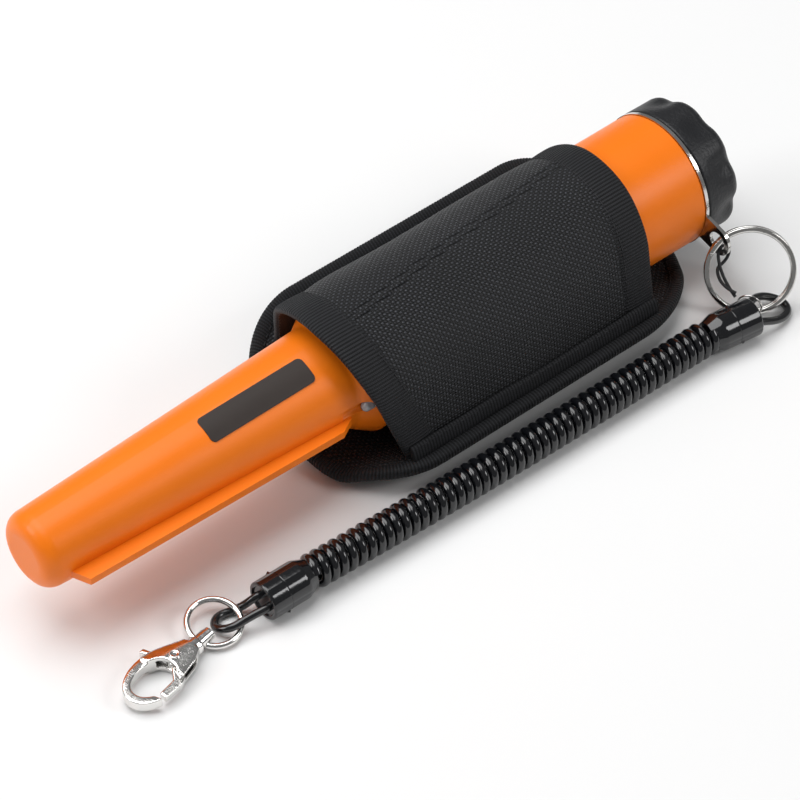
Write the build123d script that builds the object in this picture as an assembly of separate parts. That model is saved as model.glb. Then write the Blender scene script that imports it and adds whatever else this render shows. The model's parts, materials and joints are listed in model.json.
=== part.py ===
"""Pinpointer probe in its holster, with its coil lanyard, as separate pieces.

Everything is drawn with X measured from the probe's tip, along the probe, and Z up from the
surface that it lies on. save() then moves each piece so that the origin is under the middle of
the holster's back panel. Units are millimetres.
"""
from build123d import *
from math import cos, pi, radians, sin, tan
import os

os.makedirs("parts", exist_ok=True)

# ---------------------------------------------------------------- driving dimensions
ORIGIN_X = 151.0        # from the tip to the origin, under the middle of the back panel
AXIS_Z = 25.0           # height of the probe's axis

TIP_R = 10.4            # probe radius at the tip and at the foot of the shoulder
ROOT_R = 14.6
SHOULDER_X = 95.5       # the shoulder cone widens the probe to the handle
HANDLE_X = 102.0
HANDLE_R = 18.8
HANDLE_END_X = 212.4    # the handle's end face, where the lanyard tab sits
HANDLE_END_R = 19.3
NECK_R = 17.3           # threaded neck: crest radius, stand-in for the thread
NECK_END_X = 222.0
BORE_R = 15.5           # battery compartment and electronics bore
TIP_BORE_R = 8.0
WALL_TIP = 4.0

BLADE_Z = AXIS_Z - 1.3  # top face of the scraping blade
BLADE_T = 2.2

CAP_START_X = 213.8
CAP_END_X = 225.5
CAP_R = 19.5
CAP_BORE_R = NECK_R + 0.05
CAP_TOP = 3.2

TAB_X = HANDLE_END_X + 0.05
TAB_T = 1.0
TAB_ANGLE = radians(13.5)  # the lug points this far below level, on the -Y side
LUG_R = 24.7             # from the probe's axis to the lug's hole
LUG_TIP_R = 4.4
LUG_HOLE_R = 2.75

RING_C = Vector(216.9, -32.8, 11.95)   # split ring: centre, mean radius, wire
RING_R = 11.7
RING_WIRE_R = 0.8
RING_LEAN = radians(64)                # its plane leans back this far from level
RING_TURN = radians(49.5)

BUTTON_X = 128.0
BUTTON_R = 6.0
BUTTON_TOP = 18.3
BOARD_Z = 4.0            # underside of the circuit board, above the axis
BOARD_T = 1.6
BULKHEAD_X = 160.0
BATTERY_X = 172.2
LED_R = 1.5
LED_Y = -15.3            # the lamp sits beside the blade's rear end
LED_Z = 0.6
SOUNDER_X = 122.0
MOTOR_Z = -2.0

SLEEVE_R = 19.65         # inside of the holster's sleeve
SLEEVE_T = 1.75
SLEEVE_END_X = 189.0
MOUTH_X = 98.5           # the front mouth slants: its X at the axis and its slope with height
MOUTH_SLOPE = -0.33
BINDING_W = 10.0         # width of the mouth bindings
BINDING_T = 0.7
PAD_X = (87.0, 214.5)
PAD_Y = (-29.9, 40.2)
PAD_CORNERS = ((24.0, 30.0), (33.0, 24.0))   # radii: front then rear, each near then far
PAD_Z = 1.6              # underside of the back panel's middle
PAD_T = 3.4
PAD_EDGE = 0.2           # the binding stands this proud of the panel on each side
PAD_FLAT = 12.5          # half width of its flat middle
PAD_BINDING = 4.6
LOOP_T = 1.5             # belt loop webbing
LOOP_X = (112.0, 187.0)
LOOP_STITCH = 8.0

COIL_R = 5.0
CORD_R = 1.1
STRING_R = 0.45
END_CAP_R = 5.4
END_CAP_L = 15.0
NEAR_CAP = Vector(45.8, -35.65, 5.4)    # outer face of each end cap
FAR_CAP = Vector(210.1, -41.3, 5.4)
COIL_ROUTE = [(61.0, -35.85, 5.4), (100, -37.6, 5.1), (148, -38.6, 5.1), (195.4, -39.2, 5.4)]

COLLAR = Vector(25.1, -34.3, 2.8)      # clasp: centre of its swivel collar
CLASP_ANGLE = radians(10)
CLASP_T = 5.0
WIRE_T = 3.0
PIVOT = (6.8, -0.4)
SLOT_T = 2.2             # slot in the body, and the lever that swings in it
LEVER_T = 2.0
EYE_R = 6.9
EYE_WIRE_R = 0.85
EYE_C = Vector(33.6, -31.4, 2.85)
PIN_R = 1.0


# ---------------------------------------------------------------- helpers
saved = []


def save(name, shape, *more):
    """Write one node: a shape, or several separate solids kept together."""
    shapes = [shape, *more]
    solids = [s for part in shapes for s in part.solids()]
    moved = [Pos(-ORIGIN_X, 0, 0) * s for s in solids]
    node = moved[0] if len(moved) == 1 else Compound(children=moved)
    export_step(node, f"parts/{name}.step")
    saved.append(name)


def turned(points, radii=None):
    """A solid turned about the probe's axis from (x, radius) points, with rounded corners."""
    if radii:
        outline = FilletPolyline(*points, radius=radii)
        edges = outline.edges() + [Line(outline @ 1, outline @ 0)]
        face = make_face(edges)
    else:
        face = make_face(Polyline(*points, close=True).edges())
    return Pos(0, 0, AXIS_Z) * revolve(Plane.XZ * face, Axis.X, 360)


def rod(x0, x1, r, y=0.0, z=0.0):
    """A round bar along X, at y and z from the probe's axis."""
    plane = Plane(origin=(x0, y, AXIS_Z + z), z_dir=(1, 0, 0))
    return extrude(plane * Circle(r), x1 - x0)


def tube(x0, x1, r_out, r_in, y=0.0, z=0.0):
    return rod(x0, x1, r_out, y, z) - rod(x0 - 1, x1 + 1, r_in, y, z)


def block(x0, x1, y0, y1, z0, z1):
    """A box from its limits, with z measured from the surface."""
    centre = ((x0 + x1) / 2, (y0 + y1) / 2, (z0 + z1) / 2)
    return Pos(*centre) * Box(x1 - x0, y1 - y0, z1 - z0)


def post(x, y, z0, z1, r):
    """An upright round post, with z measured from the probe's axis."""
    return extrude(Plane(origin=(x, y, AXIS_Z + z0)) * Circle(r), z1 - z0)


def cord(points, r, label, share=0.45):
    """A round cord: straight runs joined by tangent arcs that take up a share of each run."""
    pts = [Vector(*p) for p in points]
    radii = []
    for a, b, c in zip(pts, pts[1:], pts[2:]):
        half_turn = radians((b - a).get_angle(c - b)) / 2
        radii.append(share * min((b - a).length, (c - b).length) / tan(half_turn))
    path = FilletPolyline(*pts, radius=radii)
    start = Plane(origin=path @ 0, z_dir=path % 0)
    solid = sweep(start * Circle(r), path=path)
    print(label, "arc radii", [round(x, 1) for x in radii], "length", round(path.length, 1),
          "volume / (section x length)", round(solid.volume / (pi * r * r * path.length), 4))
    return solid


# ---------------------------------------------------------------- the probe's housing
def handle_radius(x):
    along = (x - HANDLE_X) / (HANDLE_END_X - HANDLE_X)
    return HANDLE_R + (HANDLE_END_R - HANDLE_R) * along


def probe_radius(x):
    return TIP_R + (ROOT_R - TIP_R) * x / SHOULDER_X


def probe_housing():
    outer = turned([(0, 0), (0, TIP_R), (SHOULDER_X, ROOT_R), (HANDLE_X, HANDLE_R),
                    (HANDLE_END_X, HANDLE_END_R), (HANDLE_END_X, 10), (100, 0)],
                   [4.6, 3.0, 1.0, 0.4, 1.0])
    neck = rod(150, NECK_END_X, NECK_R)
    blade = extrude(
        Plane(origin=(0, 0, BLADE_Z - BLADE_T))
        * make_face(Polyline((5.5, -8), (8.6, -15.6), (88, -17.3), (92.5, -14.8), (96, -8),
                             close=True).edges()), BLADE_T)
    blade = fillet(blade.edges().filter_by(Axis.Z).group_by(Axis.Y)[0], 1.0)
    body = outer + neck + blade
    core = turned([(WALL_TIP, 0), (WALL_TIP, TIP_BORE_R), (98, 12.0), (106, BORE_R),
                   (NECK_END_X + 5, BORE_R), (NECK_END_X + 5, 0)])
    body = body - core
    body = body - tube(219.0, 220.7, NECK_R + 1, NECK_R - 0.9)
    body = body - post(BUTTON_X, 0, 5, 25, BUTTON_R + 0.05)
    body = body - rod(90, 107, LED_R + 0.03, LED_Y, LED_Z)
    for k in range(7):
        angle = 2 * pi * k / 6
        reach = 0 if k == 6 else 4.5
        body = body - post(SOUNDER_X + reach * cos(angle), reach * sin(angle), -25, -10, 0.8)
    return body


def label_plate():
    """A thin blank plate that follows the probe's cone, turned 21 degrees towards -Y."""
    t = 0.25
    skin = (turned([(50, 0), (50, probe_radius(50) + t), (90, probe_radius(90) + t), (90, 0)])
            - turned([(49, 0), (49, probe_radius(49)), (91, probe_radius(91)), (91, 0)]))
    stamp = extrude(Plane.XY * Pos(70, 0) * RectangleRounded(33, 7.6, 1.3), 30)
    return skin & (Pos(0, 0, AXIS_Z) * (Rot(21, 0, 0) * stamp))


def led_lamp():
    return rod(97.0, 104.0, LED_R, LED_Y, LED_Z) + Pos(97.0, LED_Y, AXIS_Z + LED_Z) * Sphere(LED_R)


def lanyard_tab():
    """The steel ring on the neck, with its lug and hole."""
    reach = LUG_R
    plate = Circle(CAP_R) + Pos(reach / 2, 0) * Rectangle(reach, 2 * LUG_TIP_R)
    plate = plate + Pos(reach, 0) * Circle(LUG_TIP_R)
    plate = plate - Circle(NECK_R + 0.08) - Pos(reach, 0) * Circle(LUG_HOLE_R)
    lug_dir = (0, -cos(TAB_ANGLE), -sin(TAB_ANGLE))
    plane = Plane(origin=(TAB_X, 0, AXIS_Z), x_dir=lug_dir, z_dir=(1, 0, 0))
    return extrude(plane * plate, TAB_T)


# ---------------------------------------------------------------- inside the probe
def electronics():
    """Board on its tray, with what is soldered to it."""
    top = AXIS_Z + BOARD_Z + BOARD_T
    tray_top = AXIS_Z + BOARD_Z
    save("circuit_board", block(107, 156, -12.6, 12.6, tray_top, top))
    tray = block(106, BULKHEAD_X, -12.8, 12.8, tray_top - 1.6, tray_top)
    for y in (-12.8, 11.8):
        tray = tray + block(106, BULKHEAD_X, y, y + 1, tray_top - 6.0, tray_top - 1.6)
    save("board_tray", tray)
    save("main_chip", block(112, 119, -3.5, 3.5, top, top + 1.6))
    small = [block(x, x + 3.2, y, y + 1.8, top, top + 1.4)
             for x in (137, 143, 149) for y in (-9, -5.5, 4.5, 8)]
    small += [block(112, 115.2, y, y + 1.8, top, top + 1.4) for y in (-10, 8)]
    save("small_components", *small)
    save("capacitors", *[post(x, 0, BOARD_Z + BOARD_T, BOARD_Z + BOARD_T + 6.5, 2.5) for x in (140, 147)])
    switch = block(BUTTON_X - 3, BUTTON_X + 3, -3, 3, top, top + 3.4)
    save("power_switch", switch + post(BUTTON_X, 0, BOARD_Z + BOARD_T + 3.4, BOARD_Z + BOARD_T + 4.3, 1.75))


def sounder_and_motor():
    save("sounder", post(SOUNDER_X, 0, -12.2, -7.6, 8.8))
    save("vibration_motor", rod(138, 150, 3.0, 0, MOTOR_Z) + rod(150, 156.5, 0.5, 0, MOTOR_Z))
    clip = block(140, 147, -4.2, 4.2, AXIS_Z + MOTOR_Z - 4.2, AXIS_Z + BOARD_Z - 1.6)
    save("motor_clip", clip - rod(130, 160, 3.0, 0, MOTOR_Z))
    save("motor_weight", motor_weight())


def search_coil():
    """Ferrite rod and two windings on a bobbin, cushioned in the tip."""
    save("bulkhead", rod(BULKHEAD_X, BULKHEAD_X + 2, BORE_R - 0.1))
    save("tip_cushion", rod(WALL_TIP, 7.8, TIP_BORE_R - 0.2))
    bobbin = tube(7.8, 64, 5.6, 4.02)
    for x, width, r in ((7.8, 1.5, 7.8), (43, 1.4, 8.6), (62.5, 1.5, 9.6)):
        bobbin = bobbin + tube(x, x + width, r, 4.02)
    save("coil_bobbin", bobbin)
    save("ferrite_rod", rod(8.4, 66, 4.0))
    save("transmit_winding", tube(9.3, 43, 7.2, 5.6))
    save("receive_winding", tube(44.4, 62.5, 6.8, 5.6))
    save("coil_leads", *[rod(64, 107, 0.45, y, BOARD_Z + 0.8) for y in (-7.0, -5.6, 5.6, 7.0)])
    leads = [cord([(104, LED_Y + s, AXIS_Z + LED_Z), (109 + s, -14.5 + 0.2 * s, AXIS_Z + 3.2),
                   (110.8 + s, -13.5, AXIS_Z + 6.3), (112.2 + s, -12.3, AXIS_Z + BOARD_Z + BOARD_T + 0.1)],
                  0.2, "led lead") for s in (0.0, 0.7)]
    save("led_leads", *leads)


def motor_weight():
    """Half a disc on the vibration motor's shaft."""
    weight = tube(151.6, 156.0, 3.8, 0.55, 0, MOTOR_Z)
    keep = block(151, 157, -5, 5, AXIS_Z - 8, AXIS_Z + MOTOR_Z + 0.9)
    return weight & keep


def battery_parts():
    section = RectangleRounded(26.5, 17.5, 2.4)
    plane = Plane(origin=(BATTERY_X, 0, AXIS_Z), x_dir=(0, 1, 0), z_dir=(1, 0, 0))
    battery = extrude(plane * section, 46.4)
    for y, r in ((-6.35, 2.8), (6.35, 3.6)):
        battery = battery + rod(BATTERY_X - 2.6, BATTERY_X, r, y)
    save("battery_9v", battery)
    plate = Plane(origin=(BATTERY_X - 5.6, 0, AXIS_Z), x_dir=(0, 1, 0), z_dir=(1, 0, 0))
    save("battery_snap", extrude(plate * RectangleRounded(24, 12, 3), 3.0))
    leads = [rod(BULKHEAD_X + 2, BATTERY_X - 5.6, 0.8, y, 0) for y in (-3, 3)]
    leads += [rod(156, BULKHEAD_X, 0.8, y, BOARD_Z + 0.8) for y in (-6, 6)]
    save("battery_leads", *leads)
    seal = revolve(Plane.XZ * Pos(219.85, NECK_R - 0.9 + 0.46) * Circle(0.44), Axis.X, 360)
    save("cap_seal", Pos(0, 0, AXIS_Z) * seal)


def power_button():
    """A domed rubber button with a flange inside the wall and a stem to the switch."""
    cap = post(BUTTON_X, 0, 12.4, BUTTON_TOP, BUTTON_R)
    cap = fillet(cap.edges().filter_by(GeomType.CIRCLE).sort_by(Axis.Z)[-1], 0.8)
    flange = post(BUTTON_X, 0, 12.2, 13.2, BUTTON_R + 1)
    stem = post(BUTTON_X, 0, 11.0, 12.4, 1.6)
    return cap + flange + stem


# ---------------------------------------------------------------- battery cap
def battery_cap():
    cap = turned([(CAP_START_X, 0), (CAP_START_X, CAP_R), (CAP_END_X, CAP_R), (CAP_END_X, 0)],
                 [0.5, 2.6])
    cap = cap - rod(CAP_START_X - 1, CAP_END_X - CAP_TOP, CAP_BORE_R)
    flutes = 9
    for k in range(flutes):
        angle = 2 * pi * k / flutes
        reach = CAP_R + 5.2
        cap = cap - rod(CAP_START_X + 3.2, CAP_END_X + 1, 6.2, reach * cos(angle), reach * sin(angle))
    return cap


# ---------------------------------------------------------------- holster
def panel_face(grow):
    """Section of the curved back panel: flat in the middle, both wings curling up.

    grow thickens it on each side, for the binding that wraps its edge.
    """
    z0 = PAD_Z - grow
    z1 = PAD_Z + PAD_T + grow
    low_left = Spline((-PAD_FLAT, z0), (-21.6, z0 + 3.4), (-29.9, z0 + 4.4), tangents=[(-1, 0), (-1, 0.05)])
    low_right = Spline((PAD_FLAT, z0), (27, z0 + 4.0), (40.2, z0 + 11.2), tangents=[(1, 0), (1, 0.62)])
    top_left = Spline((-PAD_FLAT, z1), (-20.9, z1 + 3.1), (-29.8, z1 + 4.3), tangents=[(-1, 0), (-1, 0.05)])
    top_right = Spline((PAD_FLAT, z1), (25.6, z1 + 3.9), (38.4, z1 + 10.4), tangents=[(1, 0), (1, 0.62)])
    edges = [low_left, low_right, top_left, top_right,
             Line((-PAD_FLAT, z0), (PAD_FLAT, z0)), Line((-PAD_FLAT, z1), (PAD_FLAT, z1)),
             Line(low_left @ 1, top_left @ 1), Line(low_right @ 1, top_right @ 1)]
    return make_face(edges)


def along_x(face, x0, x1):
    """Extrude a face drawn in (Y, Z) from x0 to x1."""
    plane = Plane(origin=(x0, 0, 0), x_dir=(0, 1, 0), z_dir=(1, 0, 0))
    return extrude(plane * face, x1 - x0)


def panel_outline(inset):
    """The panel's rounded outline from above, as a tall block."""
    arcs = []
    for turn, (i, j) in enumerate([(1, 1), (0, 1), (0, 0), (1, 0)]):
        r = PAD_CORNERS[i][j]
        x = PAD_X[i] + (r if i == 0 else -r)
        y = PAD_Y[j] + (r if j == 0 else -r)
        arcs.append(CenterArc((x, y), r - inset, 90 * turn, 90))
    sides = [Line(a @ 1, b @ 0) for a, b in zip(arcs, arcs[1:] + arcs[:1])]
    return extrude(make_face(arcs + sides), 60, dir=(0, 0, 1))


def sleeve_outline(grow):
    """The sleeve's outer outline in (Y, Z): round over the handle, skirts down to the panel."""
    r = SLEEVE_R + SLEEVE_T + grow
    skirt = make_face(Polyline((-24.6 - grow, 0), (-24.6 - grow, 8.0), (-r + 0.02, 27.0),
                               (r - 0.02, 27.0), (29.4 + grow, 9.0), (29.4 + grow, 0),
                               close=True).edges())
    return Pos(0, AXIS_Z) * Circle(r) + skirt


def before_mouth(shift):
    """The wedge ahead of the slanted front mouth."""
    def mouth_x(z):
        return MOUTH_X + shift + MOUTH_SLOPE * (z - AXIS_Z)
    face = make_face(Polyline((60, -10), (mouth_x(-10), -10), (mouth_x(60), 60), (60, 60),
                              close=True).edges())
    return extrude(Plane.XZ * face, 80, both=True)


def holster_parts():
    panel = along_x(panel_face(0), PAD_X[0] - 5, PAD_X[1] + 5)
    thick = along_x(panel_face(PAD_EDGE), PAD_X[0] - 5, PAD_X[1] + 5)
    save("holster_panel", panel & panel_outline(PAD_BINDING))
    save("panel_binding", (thick & panel_outline(0)) - panel_outline(PAD_BINDING))
    trim = along_x(panel_face(PAD_EDGE), 60, 240)
    below = block(60, 240, -60, 60, -20, PAD_Z + PAD_T - 0.5)
    inner = sleeve_outline(-SLEEVE_T)
    x0 = 80.0
    wall = along_x(sleeve_outline(0), x0, SLEEVE_END_X) - along_x(inner, x0 - 1, SLEEVE_END_X + 1)
    sleeve = ((wall - trim) - below) - before_mouth(0)
    keep = max(sleeve.solids(), key=lambda s: s.volume)
    save("holster_sleeve", keep)
    shell = along_x(sleeve_outline(BINDING_T), x0, SLEEVE_END_X + BINDING_T)
    shell = (shell - along_x(inner, x0 - 1, SLEEVE_END_X + 2)) - trim - below
    front = (shell - before_mouth(-BINDING_T)) & before_mouth(BINDING_W)
    front = front - (wall - before_mouth(0))
    save("front_mouth_binding", max(front.solids(), key=lambda s: s.volume))
    rear = shell & block(SLEEVE_END_X - BINDING_W, SLEEVE_END_X + 5, -60, 60, 0, 60)
    rear = rear - wall
    save("rear_mouth_binding", max(rear.solids(), key=lambda s: s.volume))
    strip = shell - wall - before_mouth(BINDING_W)
    strip = strip & block(x0, SLEEVE_END_X - BINDING_W, -60, -20, 0, 13.5)
    save("seam_tape", max(strip.solids(), key=lambda s: s.volume))
    loop = block(*LOOP_X, -PAD_FLAT, PAD_FLAT, 0, LOOP_T)
    for x in (LOOP_X[0], LOOP_X[1] - LOOP_STITCH):
        loop = loop + block(x, x + LOOP_STITCH, -PAD_FLAT, PAD_FLAT, LOOP_T, PAD_Z)
    save("belt_loop", loop)


# ---------------------------------------------------------------- lanyard
def end_cap(face, inward):
    """A moulded end cap: its outer face at face, its rounded shoulder towards the coil."""
    cap = extrude(Plane(origin=face, z_dir=inward) * Circle(END_CAP_R), END_CAP_L)
    rims = cap.edges().filter_by(GeomType.CIRCLE).sort_by(lambda e: (e.center() - face).length)
    cap = fillet(rims[-1], 1.8)
    rims = cap.edges().filter_by(GeomType.CIRCLE).sort_by(lambda e: (e.center() - face).length)
    return fillet(rims[0], 0.5)


def lanyard_parts():
    near_dir = (Vector(*COIL_ROUTE[0]) - NEAR_CAP).normalized()
    far_dir = (Vector(*COIL_ROUTE[-1]) - FAR_CAP).normalized()
    save("end_cap_near", end_cap(NEAR_CAP, near_dir))
    save("end_cap_far", end_cap(FAR_CAP, far_dir))
    save("lanyard_coil", cord(COIL_ROUTE, COIL_R, "coil"))
    side = Vector(-near_dir.Y, near_dir.X, 0) * 2.4
    a = NEAR_CAP + side
    b = NEAR_CAP - side
    near_loop = [tuple(a), (42.0, -30.6, 1.15), (36.4, -28.7, 1.12), (32.9, -31.8, 1.6),
                 (34.8, -36.2, 3.5), (40.2, -36.9, 4.6), tuple(b)]
    save("near_loop", cord(near_loop, CORD_R, "near loop"))
    side = Vector(-far_dir.Y, far_dir.X, 0) * 2.4
    a = FAR_CAP - side
    b = FAR_CAP + side
    far_loop = [tuple(a), (214.6, -36.2, 5.2), (219.6, -35.9, 3.4), (223.6, -39.6, 1.6),
                (222.0, -43.8, 1.3), (216.5, -45.2, 2.6), tuple(b)]
    save("far_loop", cord(far_loop, CORD_R, "far loop"))


# ---------------------------------------------------------------- rings and string
def ring_plane():
    """The split ring's leaning plane: local x level, local y up the lean."""
    level = Vector(sin(RING_TURN), -cos(RING_TURN), 0)
    up = Vector(cos(RING_LEAN) * cos(RING_TURN), cos(RING_LEAN) * sin(RING_TURN), sin(RING_LEAN))
    return Plane(origin=RING_C, x_dir=level, z_dir=level.cross(up))


def torus_on(plane, big, small):
    face = Plane(origin=plane.origin + plane.x_dir * big, x_dir=plane.x_dir,
                 z_dir=plane.y_dir) * Circle(small)
    return revolve(face, Axis(plane.origin, plane.z_dir), 360)


def split_ring():
    plane = ring_plane()
    offset = plane.z_dir * 0.62
    one = Plane(origin=plane.origin + offset, x_dir=plane.x_dir, z_dir=plane.z_dir)
    two = Plane(origin=plane.origin - offset, x_dir=plane.x_dir, z_dir=plane.z_dir)
    return torus_on(one, RING_R, RING_WIRE_R) + torus_on(two, RING_R, RING_WIRE_R)


def string_parts():
    string = [(210.3, -34.4, 7.4), (210.0, -29.6, 10.6), (211.2, -25.25, 17.3), (214.7, -25.05, 17.7),
              (215.9, -26.0, 15.0), (213.4, -26.6, 12.9), (210.2, -26.4, 12.2), (209.0, -30.6, 9.2),
              (210.6, -34.2, 8.5)]
    save("strap_string", cord(string, STRING_R, "string", 0.36))
    centre = Vector(212.3, -37.9, 5.6)
    along = Vector(4.1, 2.5, -0.2).normalized()
    save("strap_ring", torus_on(Plane(origin=centre, z_dir=along), 3.3, 0.25))


# ---------------------------------------------------------------- clasp
def clasp_plane(z=0.0):
    """Local x runs from the collar to the hook, local y towards the gate side."""
    return Plane(origin=COLLAR + Vector(0, 0, z), x_dir=(-cos(CLASP_ANGLE), -sin(CLASP_ANGLE), 0),
                 z_dir=(0, 0, 1))


def clasp_round(u0, u1, r):
    """A round bar along the clasp's own axis, from u0 to u1."""
    plane = clasp_plane()
    start = plane.origin + plane.x_dir * u0
    return extrude(Plane(origin=start, z_dir=plane.x_dir) * Circle(r), u1 - u0)


def clasp_upright(at, r, thickness):
    return extrude(clasp_plane(-thickness / 2) * Pos(*at) * Circle(r), thickness)


def clasp_body():
    outer = Spline((1.0, -2.5), (4.6, -4.3), (8.0, -5.8), (11.8, -6.9), (16.6, -6.7), (20.9, -5.0),
                   (23.3, -2.6), (24.1, 0.2), (23.1, 3.3), (20.9, 5.2), (18.4, 6.2))
    inner = Spline((19.1, 3.9), (20.3, 2.9), (21.4, 1.3), (21.5, -1.0), (19.6, -3.3), (16.1, -4.3),
                   (12.4, -4.0), (9.9, -2.6), (8.9, 0.0), (9.4, 2.3), (10.6, 3.6))
    edges = [outer, Line(outer @ 1, inner @ 0), inner,
             Polyline(inner @ 1, (11.2, 5.4), (4.3, 4.2), (1.0, 2.5)), Line((1.0, 2.5), (1.0, -2.5))]
    face = make_face([e for part in edges for e in part.edges()])
    body = extrude(clasp_plane(-CLASP_T / 2) * face, CLASP_T)
    for side in (1, -1):
        low = min(side * WIRE_T / 2, side * 4)
        high = max(side * WIRE_T / 2, side * 4)
        plane = clasp_plane(low)
        slab = extrude(plane * Pos(20.5, 0) * Rectangle(16, 20), high - low)
        body = body - slab
    body = body + clasp_round(-1.0, 1.6, 2.5)
    slot = extrude(clasp_plane(-SLOT_T / 2) * (Pos(7.6, 2.6) * Rectangle(9.6, 11.2)
                                               + Pos(6.2, -6.0) * Rectangle(8.6, 8.4)), SLOT_T)
    body = body - slot
    body = body - clasp_upright(PIVOT, PIN_R + 0.02, 10)
    return body - clasp_round(-1.2, 1.7, PIN_R + 0.02)


def clasp_lever():
    """Thumb tab, pivot boss and gate in one piece."""
    boss = clasp_upright(PIVOT, 2.0, LEVER_T)
    thumb = make_face(Polyline((5.4, -1.4), (8.4, -5.6), (9.2, -8.8), (10.9, -8.8), (10.3, -7.0),
                               (9.6, -5.0), (8.2, -0.8), close=True).edges())
    gate = make_face(Polyline((5.6, 1.0), (9.6, 5.6), (11.4, 6.3), (17.5, 6.3), (17.4, 4.1),
                              (12.2, 3.8), (8.4, -0.2), close=True).edges())
    arm = extrude(clasp_plane(-LEVER_T / 2) * (thumb + gate), LEVER_T)
    return (boss + arm) - clasp_upright(PIVOT, PIN_R + 0.05, 10)


def swivel_eye():
    plane = Plane(origin=EYE_C, z_dir=Vector(-0.03, -0.2, 1).normalized())
    eye = torus_on(plane, EYE_R, EYE_WIRE_R) + clasp_round(-4.2, -1.3, 1.95)
    return eye - clasp_round(-8, 0, PIN_R + 0.05)


def clasp_parts():
    save("clasp_body", clasp_body())
    save("clasp_lever", clasp_lever())
    save("swivel_eye", swivel_eye())
    pin = clasp_round(-4.3, 1.6, PIN_R) + clasp_round(-5.6, -4.3, 1.8)
    save("swivel_pin", pin)
    rivet = clasp_upright(PIVOT, PIN_R, CLASP_T)
    heads = clasp_upright(PIVOT, 1.5, CLASP_T + 0.5) - clasp_upright(PIVOT, 3, CLASP_T)
    save("clasp_rivet", rivet + heads)


# ---------------------------------------------------------------- write the nodes
save("probe_housing", probe_housing())
save("label_plate", label_plate())
save("led_lamp", led_lamp())
save("lanyard_tab", lanyard_tab())
electronics()
sounder_and_motor()
search_coil()
battery_parts()
save("power_button", power_button())
save("battery_cap", battery_cap())
save("cap_pad", rod(219.0, CAP_END_X - CAP_TOP - 0.1, 12.0))
holster_parts()
lanyard_parts()
save("split_ring", split_ring())
string_parts()
clasp_parts()
print(len(saved), "nodes")
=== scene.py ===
"""Looks of the pinpointer probe: moulded housing, cloth holster, coil lanyard and plated clips.

Distances in this file are millimetres, with X counted from the probe's tip; at() turns them into
metres in the row frame. Most new pieces are grids of points worked out with numpy; the cords are
bevelled curves, and the clasp's two castings are remeshed copies of CAD nodes.
"""
import json
import math

import bmesh
import bpy
import numpy as np
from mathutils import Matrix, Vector


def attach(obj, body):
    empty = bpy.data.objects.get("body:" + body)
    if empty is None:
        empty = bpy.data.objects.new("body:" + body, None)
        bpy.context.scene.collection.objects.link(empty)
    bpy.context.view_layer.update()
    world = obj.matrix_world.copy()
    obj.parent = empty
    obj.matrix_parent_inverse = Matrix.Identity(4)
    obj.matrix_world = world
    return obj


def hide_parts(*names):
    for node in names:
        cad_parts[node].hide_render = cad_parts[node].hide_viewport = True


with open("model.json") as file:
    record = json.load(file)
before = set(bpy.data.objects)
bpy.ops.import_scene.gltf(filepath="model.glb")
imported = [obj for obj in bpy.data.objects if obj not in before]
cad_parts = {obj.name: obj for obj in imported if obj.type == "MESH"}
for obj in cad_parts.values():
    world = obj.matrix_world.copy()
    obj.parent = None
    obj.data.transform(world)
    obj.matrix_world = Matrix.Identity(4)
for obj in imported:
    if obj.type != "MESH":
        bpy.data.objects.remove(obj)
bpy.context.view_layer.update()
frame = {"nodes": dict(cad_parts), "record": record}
NODES = frame["nodes"]

TIP_X = 151.0           # the tip is this far before the row frame's origin
AXIS_Z = 25.0           # height of the probe's axis
TAU = 2 * math.pi


def at(points):
    """Millimetres from the tip, as metres in the row frame."""
    return (np.asarray(points, float) - [TIP_X, 0, 0]) / 1000


# ---------------------------------------------------------------- camera
TARGET = Vector(at((105.25, -18.81, 25.0)))
ELEVATION, HEADING = math.radians(45.28), math.radians(49.51)
DISTANCE = 1.0009
SIGHT = Vector((math.cos(ELEVATION) * math.cos(HEADING),
                math.cos(ELEVATION) * math.sin(HEADING), -math.sin(ELEVATION)))

camera_data = bpy.data.cameras.new("camera")
camera_data.sensor_width = 36
camera_data.lens = 176.56
camera_data.clip_start = 0.01
camera = bpy.data.objects.new("camera", camera_data)
camera.location = TARGET - DISTANCE * SIGHT
camera.rotation_euler = SIGHT.to_track_quat("-Z", "Y").to_euler()
bpy.context.scene.collection.objects.link(camera)
bpy.context.scene.camera = camera
bpy.context.scene.view_settings.view_transform = "Standard"


# ---------------------------------------------------------------- shader maths
class Value:
    """A shader socket that takes part in Python sums: each operator adds one Math node."""

    def __init__(self, paint, socket):
        self.paint, self.socket = paint, socket

    def math(self, operation, *terms):
        inputs = dict(enumerate(terms))
        return self.paint.node("ShaderNodeMath", {"operation": operation}, inputs)

    def __add__(self, other):
        return self.math("ADD", self, other)

    def __sub__(self, other):
        return self.math("SUBTRACT", self, other)

    def __rsub__(self, other):
        return self.math("SUBTRACT", other, self)

    def __mul__(self, other):
        return self.math("MULTIPLY", self, other)

    def __truediv__(self, other):
        return self.math("DIVIDE", self, other)

    def __pow__(self, other):
        return self.math("POWER", self, other)

    __radd__ = __add__
    __rmul__ = __mul__

    def sine(self):
        return self.math("SINE", self)

    def floor(self):
        return self.math("FLOOR", self)

    def fraction(self):
        return self.math("FRACT", self)

    def span(self, low, high):
        """0 below low, 1 above high, and a smooth ramp between."""
        settings = {"interpolation_type": "SMOOTHSTEP"}
        return self.paint.node("ShaderNodeMapRange", settings, {0: self, 1: low, 2: high})


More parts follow.
